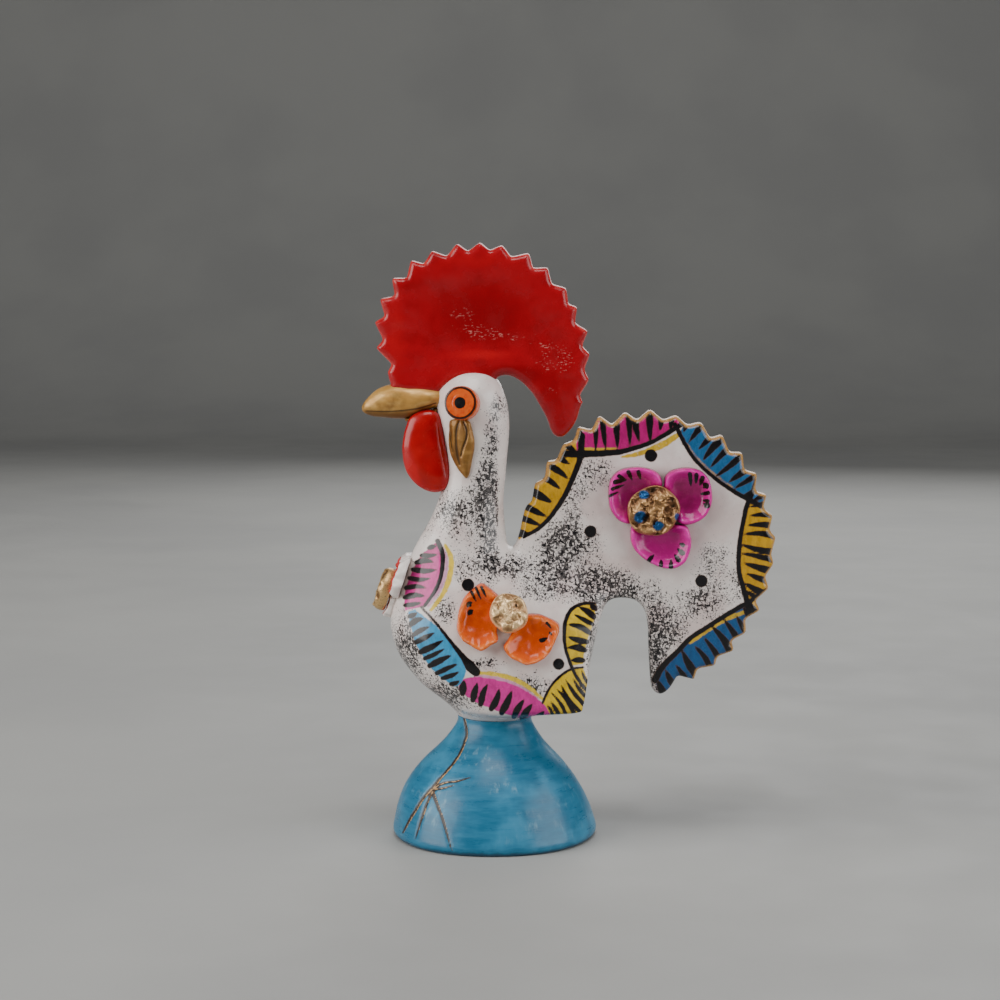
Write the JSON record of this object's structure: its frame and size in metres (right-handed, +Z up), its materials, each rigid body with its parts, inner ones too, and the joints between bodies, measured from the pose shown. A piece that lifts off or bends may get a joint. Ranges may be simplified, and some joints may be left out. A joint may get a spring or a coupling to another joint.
{
  "type": "painted clay rooster ornament",
  "caption": "Folk ornament: hand-built clay rooster with toothed comb and tail fan, pinched flowers and a hollow bell foot, standing on a flat rim.",
  "frame": {"origin": "on the table, at the middle of the foot's underside", "axes": "+Z up, beak towards -X, tail towards +X, the rooster's left side towards -Y"},
  "size_m": [0.14, 0.0688, 0.2013],
  "materials": {
    "sky_blue_glaze": "gloss",
    "white_speckled_glaze": "gloss",
    "red_enamel": "gloss",
    "gold_paint": "satin",
    "orange_enamel": "gloss",
    "magenta_enamel": "gloss",
    "crumpled_gold": "satin",
    "chest_flower_paint": "gloss"
  },
  "bodies": {
    "root": {"base": "sky_blue_glaze", "body": "white_speckled_glaze", "tail": "white_speckled_glaze", "comb": "red_enamel", "beak_upper": "gold_paint", "beak_lower": "gold_paint", "wattle_left": "red_enamel", "wattle_right": "red_enamel", "eye_left": "orange_enamel", "eye_right": "orange_enamel", "earlobe_left": "gold_paint", "earlobe_right": "gold_paint", "wing_petal_front_left": "orange_enamel", "wing_petal_rear_left": "orange_enamel", "wing_button_left": "crumpled_gold", "wing_petal_front_right": "orange_enamel", "wing_petal_rear_right": "orange_enamel", "wing_button_right": "crumpled_gold", "tail_petal_front_left": "magenta_enamel", "tail_petal_rear_left": "magenta_enamel", "tail_petal_low_left": "magenta_enamel", "tail_button_left": "crumpled_gold", "tail_petal_front_right": "magenta_enamel", "tail_petal_rear_right": "magenta_enamel", "tail_petal_low_right": "magenta_enamel", "tail_button_right": "crumpled_gold", "chest_petal_left": "chest_flower_paint", "chest_petal_right": "chest_flower_paint", "chest_petal_low": "chest_flower_paint", "chest_button": "crumpled_gold"}
  },
  "joints": []
}
